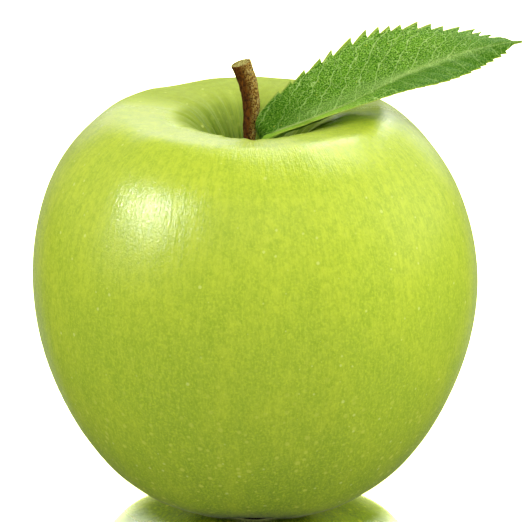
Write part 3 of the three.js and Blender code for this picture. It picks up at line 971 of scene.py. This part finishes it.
def mark_leaf(piece, share, cross, side, distance, on_blade):
    """Stores the blade's own axes, where the parts with a colour of their own lie, and where light and shade
    are painted.
    """
    def add(name, values):
        add_attribute(piece, name, np.tile(values.ravel(), 2))

    opening = smooth(0, BLADE_OPENS, share)
    axes = [on_blade, distance * np.where(side > 0, 1, NEAR_SQUEEZE), 0 * distance]
    flat = np.stack(axes, axis=-1).reshape(-1, 3)
    add_attribute(piece, "blade", np.vstack([flat, flat + UNDERSIDE_OFFSET]))
    line = np.exp(-(distance / RIB_LINE) ** 2) * blend(0.9, 0.25, smooth(0.2, 0.45, share))
    add("rib", line * opening)
    # A painted sheen along the midrib, stronger farther out.
    middle = blend(*SHEEN_PLACES, smooth(0.35, 0.6, share))
    strength = smooth(0.05, 0.2, share) * smooth(0.95, 0.6, share)
    strength = strength * blend(0.85, 1.35, smooth(0.35, 0.55, share))
    add("sheen", np.exp(-((distance - middle) / SHEEN_WIDTH) ** 2) * strength)
    add("margin", smooth(0.96, 1, cross) * opening)
    near = (side < 0) * smooth(0, 0.2, cross)
    # The near half near the base is painted lighter, as light shining through where it is seen edge-on.
    add("near_strip", near * smooth(0.45, 0.2, share))
    # The near half farther out, and the whole blade towards its tip, are painted darker as shade.
    add("near_end", np.maximum(near * smooth(0.35, 0.6, share), 0.8 * smooth(0.6, 0.95, share)))
    # The base of the blade is painted darker, as shade.
    add("base_end", smooth(0.35, 0, share) + 0 * distance)
    add_attribute(piece, "under", np.repeat([0.0, 1.0], distance.size))


def make_leaf():
    midrib = Line(MIDRIB)
    along, share, tooth = leaf_rows()
    column = np.arange(-LEAF_COLUMNS, LEAF_COLUMNS + 1)
    cross = (np.abs(column) / LEAF_COLUMNS) ** COLUMN_CROWDING
    side = np.sign(column)
    middle, distance = leaf_middle(midrib, along, share, tooth, cross, side)
    on_blade = share * midrib.length * (1 - STALK_SHARE) + 0 * distance
    sides = leaf_sides(middle, distance, on_blade, share, cross)
    vertices = np.vstack([surface.reshape(-1, 3) for surface in sides])
    piece = make_piece("leaf_blade", vertices, leaf_faces(*distance.shape), leaf_material())
    mark_leaf(piece, share, cross, side, distance, on_blade)
    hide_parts("leaf")


# ---- Calyx ----

def sepal_grid(turn, rng):
    """Middle points of one dried sepal, hanging from the cup and leaning in."""
    down = np.linspace(0, 1, SEPAL_ROWS)[:, None]
    across = np.linspace(-1, 1, SEPAL_COLUMNS)
    half = SEPAL_WIDTH / 2 * np.sqrt(np.clip(1 - down ** SEPAL_TAPER, SEPAL_TIP, 1))
    curl = rng.uniform(*SEPAL_CURL)
    x = across * half
    out = -SEPAL_HOLLOW * across ** 2 * half - np.sin(down * math.pi * rng.uniform(*SEPAL_WAVES)) * curl
    lean = SEPAL_LEAN + rng.uniform(-SEPAL_SWAY, SEPAL_SWAY)
    reach = CUP_RADIUS - CUP_WALL - down * SEPAL_LENGTH * math.sin(lean) + out
    drop = -CUP_DEPTH / 2 - down * SEPAL_LENGTH * math.cos(lean) + 0 * across
    points = np.stack([x, reach, drop], axis=-1)
    cos, sin = math.cos(turn), math.sin(turn)
    return points @ np.array([[cos, sin, 0], [-sin, cos, 0], [0, 0, 1]])


def add_sheet(vertices, faces, middle, thickness):
    """Adds a thin closed sheet round a grid of middle points."""
    normal = grid_normals(middle, closed=False)
    rows, columns = middle.shape[:2]
    start, count = sum(len(part) for part in vertices), rows * columns
    offset = normal * (thickness / 2)
    vertices += [(middle + offset).reshape(-1, 3), (middle - offset).reshape(-1, 3)]
    faces += grid_faces(rows, columns, closed=False, start=start)
    faces += grid_faces(rows, columns, closed=False, start=start + count, flipped=True)
    ring = [*range(columns), *(row * columns + columns - 1 for row in range(1, rows)),
            *range(rows * columns - 2, (rows - 1) * columns - 1, -1),
            *(row * columns for row in range(rows - 2, 0, -1))]
    for here, after in zip(ring, ring[1:] + ring[:1]):
        faces.append([start + here, start + here + count, start + after + count, start + after])


def add_rings(vertices, faces, rings):
    """Adds a closed shape through rings of points, flat at both ends."""
    rows, sides = rings.shape[:2]
    start = sum(len(part) for part in vertices)
    last = start + (rows - 1) * sides
    vertices.append(rings.reshape(-1, 3))
    faces += grid_faces(rows, sides, closed=True, start=start, flipped=True)
    faces += [list(range(start, start + sides)), list(range(last, last + sides))[::-1]]


def add_cup(vertices, faces):
    """Adds the shallow cup that the sepals hang from."""
    steps = np.array([[0.2, 0], [CUP_RADIUS * 0.7, 0], [CUP_RADIUS, -0.05], [CUP_RADIUS, -0.5],
                      [CUP_RADIUS - CUP_WALL, -CUP_DEPTH], [CUP_RADIUS - 1.4, -CUP_DEPTH * 0.8], [0.2, -0.6]])
    angle = turns(CUP_SIDES)
    cup = [steps[:, :1] * np.cos(angle), steps[:, :1] * np.sin(angle), steps[:, 1:] + 0 * angle]
    add_rings(vertices, faces, np.stack(cup, axis=-1))


def add_stamen(vertices, faces, rng):
    """Adds one dried stamen, a thread with a thicker end."""
    turn, foot = rng.uniform(0, 2 * math.pi), rng.uniform(0.5, 1.8)
    share = np.linspace(0, 1, STAMEN_ROWS)[:, None]
    spread = foot + share * rng.uniform(-0.3, 0.4)
    length = STAMEN_LENGTH * rng.uniform(0.7, 1)
    centre = np.hstack([spread * math.cos(turn), spread * math.sin(turn), -0.6 - share * length])
    radius = STAMEN_RADIUS * np.where(share > 0.85, 1.8, 1 - 0.4 * share)
    angle = turns(TUBE_SIDES)
    ring = np.stack([np.cos(angle), np.sin(angle), 0 * angle], axis=-1)
    add_rings(vertices, faces, centre[:, None, :] + ring * radius[:, None])


def make_calyx():
    rng = np.random.default_rng(SEED + 1)
    vertices, faces = [], []
    add_cup(vertices, faces)
    for sepal in range(LOBES):
        add_sheet(vertices, faces, sepal_grid(BASE_TURN + 2 * math.pi * sepal / LOBES, rng), SEPAL_THICKNESS)
    for _ in range(STAMENS):
        add_stamen(vertices, faces, rng)
    points = np.vstack(vertices) + np.array([0, 0, BASIN_FLOOR[1] - CALYX_GAP])
    piece = make_piece("calyx_remains", points, faces, calyx_material())
    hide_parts("calyx")


# ---- Studio ----

def add_stage(name, mesh, material):
    mesh.materials.append(material)
    staged = add_object(name, mesh)
    return staged


def flat_mesh(name, corners):
    """One polygon, from corners in metres."""
    mesh = bpy.data.meshes.new(name)
    mesh.from_pydata(corners, [], [tuple(range(len(corners)))])
    return mesh


def floor_mesh(name, height):
    corners = [(-1, -1), (1, -1), (1, 1), (-1, 1)]
    return flat_mesh(name, [(x * FLOOR_HALF, y * FLOOR_HALF, height) for x, y in corners])


def show_only(staged, *kinds):
    """Lets only these kinds of ray meet a staged object."""
    for kind in ("camera", "diffuse", "glossy", "transmission", "volume_scatter", "shadow"):
        setattr(staged, f"visible_{kind}", kind in kinds)


def make_floor():
    """A polished tabletop that the camera sees, lit by four white walls that light nothing else, and a
    duller one just below it that sends light back to the apple."""
    top = add_stage("table_top", floor_mesh("table_top", 0), floor_material())
    show_only(top, "camera")
    grey = plain_material("studio_table_bounce", "BsdfDiffuse", Color=FLOOR_BOUNCE)
    below = add_stage("table_bounce", floor_mesh("table_bounce", -FLOOR_GAP * MM), grey)
    show_only(below, "diffuse", "transmission", "volume_scatter")
    lit = bpy.data.collections.new("lit_by_walls")
    lit.objects.link(top)
    for turn in (0, 90, 180, 270):
        size = (FLOOR_HALF, 2 * FLOOR_HALF, 2 * FLOOR_HALF)
        wall = softbox(f"wall_{turn}", turn, 0, *size, FLOOR_WALL_POWER)
        wall.light_linking.receiver_collection = lit


def make_leaf_sheets():
    """Strengthens the leaf's dark reflection in the skin, and its shadow on it."""
    for name, (kind, corners) in LEAF_SHEETS.items():
        mesh = flat_mesh(name, [tuple(value * MM for value in corner) for corner in corners])
        show_only(add_stage(name, mesh, plain_material(name, "BsdfDiffuse", Color=SHEET_GREEN)), kind)


def make_backdrop():
    """A white dome that only the camera sees, so that every view has a white ground."""
    shape = bmesh.new()
    bmesh.ops.create_uvsphere(shape, u_segments=48, v_segments=24, radius=DOME_RADIUS)
    mesh = bpy.data.meshes.new("white_backdrop")
    shape.to_mesh(mesh)
    shape.free()
    glow = plain_material("backdrop_glow", "Emission", Color=WHITE, Strength=1.0)
    show_only(add_stage("white_backdrop", mesh, glow), "camera")


def softbox(name, turn, rise, distance, width, height, power, hidden_from="camera"):
    """A rectangular light that looks at the middle of the apple. The camera never sees it."""
    light = bpy.data.lights.new(name, "AREA")
    light.shape = "RECTANGLE"
    light.size, light.size_y = width, height
    light.energy = power
    lamp = add_object(name, light)
    turn, rise = math.radians(turn), math.radians(rise)
    back = Vector((math.sin(turn) * math.cos(rise), math.cos(turn) * math.cos(rise), math.sin(rise)))
    lamp.location = Vector((AXIS_X, 0, LIGHT_AIM * MM)) + back * distance
    lamp.rotation_euler = back.to_track_quat("Z", "Y").to_euler()
    for kind in ("camera", hidden_from):
        setattr(lamp, f"visible_{kind}", False)
    return lamp


def make_world():
    """Soft light all round. Below the horizon, what the skin mirrors of the table behind it."""
    world = bpy.data.worlds.new("studio_room")
    bpy.context.scene.world = world
    s = Shader(world)
    axes = s.add("SeparateXYZ", {0: s.add("TexCoord").outputs["Generated"]}).outputs
    level = s.math("SQRT", s.math("ADD", s.times(axes["X"], axes["X"]), s.times(axes["Y"], axes["Y"])))
    facing = s.math("DIVIDE", axes["Y"], s.math("MAXIMUM", level, 0.001))
    gleam = s.times(s.remap(facing, *GLEAM_SIDES), s.remap(axes["Z"], *GLEAM_DEPTH))
    table = s.math("MULTIPLY_ADD", gleam, TABLE_GLEAM, TABLE_DULL)
    strength = s.add("Mix", {0: s.remap(axes["Z"], *HORIZON), 2: table, 3: ROOM_LIGHT})
    background = s.add("Background", {"Color": WHITE, "Strength": strength.outputs[0]})
    s.add("OutputWorld", {"Surface": background.outputs[0]})


def make_lights():
    for lights, hidden_from in ((SHADING_LIGHTS, "glossy"), (GLOSS_LIGHTS, "diffuse")):
        for name, settings in lights.items():
            softbox(name, *settings, hidden_from)


def make_camera():
    camera = bpy.data.cameras.new("camera")
    camera.sensor_fit = "HORIZONTAL"
    camera.sensor_width = SENSOR
    camera.lens = LENS
    camera.clip_end = CLIP_END
    eye = add_object("camera", camera)
    tilt = math.radians(CAMERA_ELEVATION)
    back = Vector((0, -math.cos(tilt), math.sin(tilt)))
    eye.location = Vector((AXIS_X, 0, 0)) + (Vector(CAMERA_TARGET) + back * CAMERA_DISTANCE) * MM
    eye.rotation_euler = (math.radians(90 - CAMERA_ELEVATION), 0, 0)
    bpy.context.scene.camera = eye


bpy.context.scene.view_settings.view_transform = "Standard"
make_skin()
make_stem()
make_leaf()
make_calyx()
make_floor()
make_leaf_sheets()
make_backdrop()
make_world()
make_lights()
make_camera()
